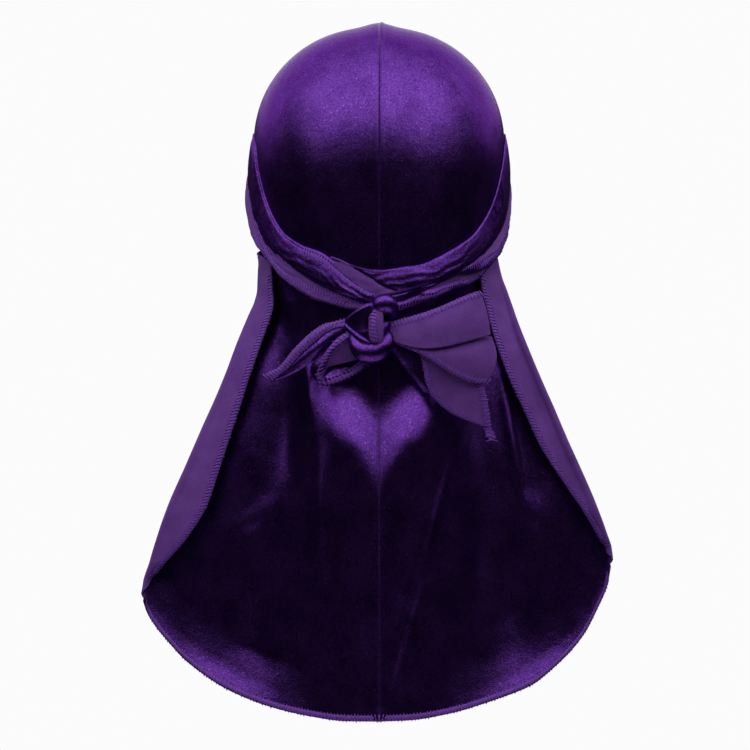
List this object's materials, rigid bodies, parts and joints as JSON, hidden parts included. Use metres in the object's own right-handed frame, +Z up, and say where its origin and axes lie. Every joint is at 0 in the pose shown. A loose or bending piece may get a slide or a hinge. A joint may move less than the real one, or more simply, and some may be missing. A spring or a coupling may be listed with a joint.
{
  "type": "durag",
  "caption": "Velvet head wrap with a centre seam, long crossed ties knotted at the nape and a wide cape-like tail.",
  "frame": {"origin": "middle of the ring that the ties grip on the wearer's head", "axes": "+Z up along the head, +Y the way the wearer faces, +X to the wearer's right; knot and tail at -Y"},
  "size_m": [0.2946, 0.2062, 0.4254],
  "materials": {
    "velvet": "crushed velvet pile, purple, with a matte knitted wrong side",
    "tie_cloth": "the same velvet in pleated ties, turned to the matte wrong side in places"
  },
  "bodies": {
    "root": {"panel_left": "velvet", "panel_right": "velvet", "tie_left": "tie_cloth", "tie_right": "tie_cloth", "knot": "tie_cloth", "tie_end_left": "tie_cloth", "tie_end_right": "tie_cloth"}
  },
  "joints": []
}
